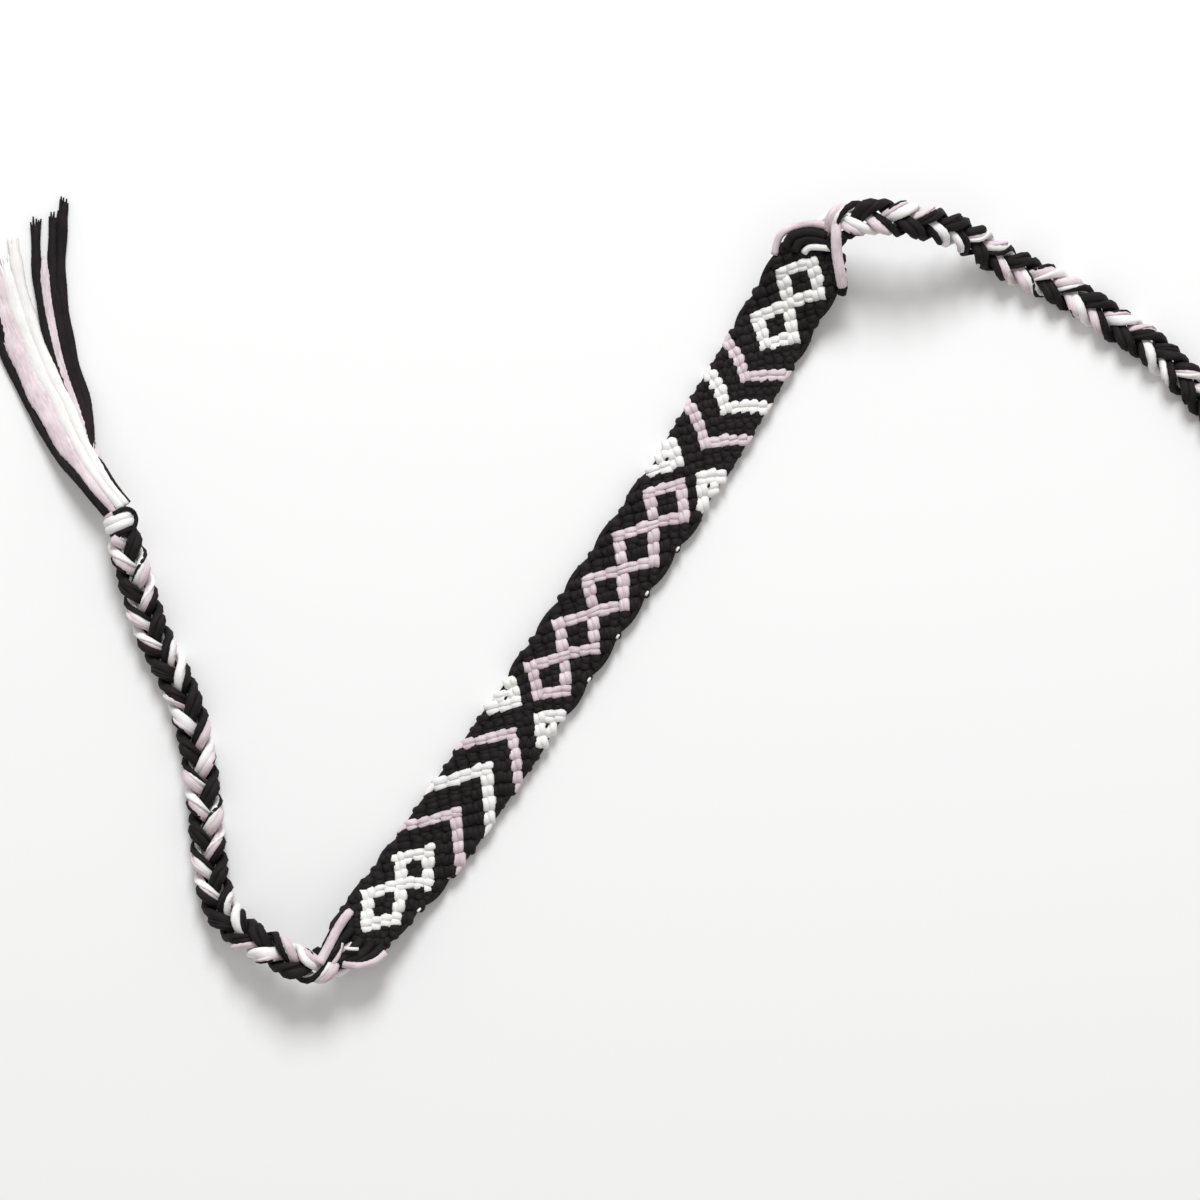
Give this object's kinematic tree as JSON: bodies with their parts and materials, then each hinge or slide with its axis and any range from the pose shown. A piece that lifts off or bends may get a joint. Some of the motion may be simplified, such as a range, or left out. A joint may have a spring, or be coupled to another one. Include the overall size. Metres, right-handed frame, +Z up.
{
  "type": "friendship bracelet",
  "caption": "Flat knotted band in black, white and pale pink floss, with a three-strand plait, end knot and tassel at each end, untied and lying flat.",
  "frame": {"origin": "middle of the woven pattern, on the band's flat underside, which lies on the surface", "axes": "+X along the band to its right end, +Y across the band, +Z up from the surface"},
  "size_m": [0.1366, 0.1953, 0.0115],
  "materials": {
    "black_floss": "stranded cotton floss",
    "white_floss": "stranded cotton floss",
    "pink_floss": "stranded cotton floss"
  },
  "bodies": {
    "root": {"band": "black_floss", "braid_left_1": "black_floss", "braid_left_2": "white_floss", "braid_left_3": "pink_floss", "braid_right_1": "black_floss", "braid_right_2": "white_floss", "braid_right_3": "pink_floss", "end_knot_left": "black_floss", "end_knot_right": "black_floss", "tassel_left": "black_floss", "tassel_right": "black_floss"}
  },
  "joints": []
}
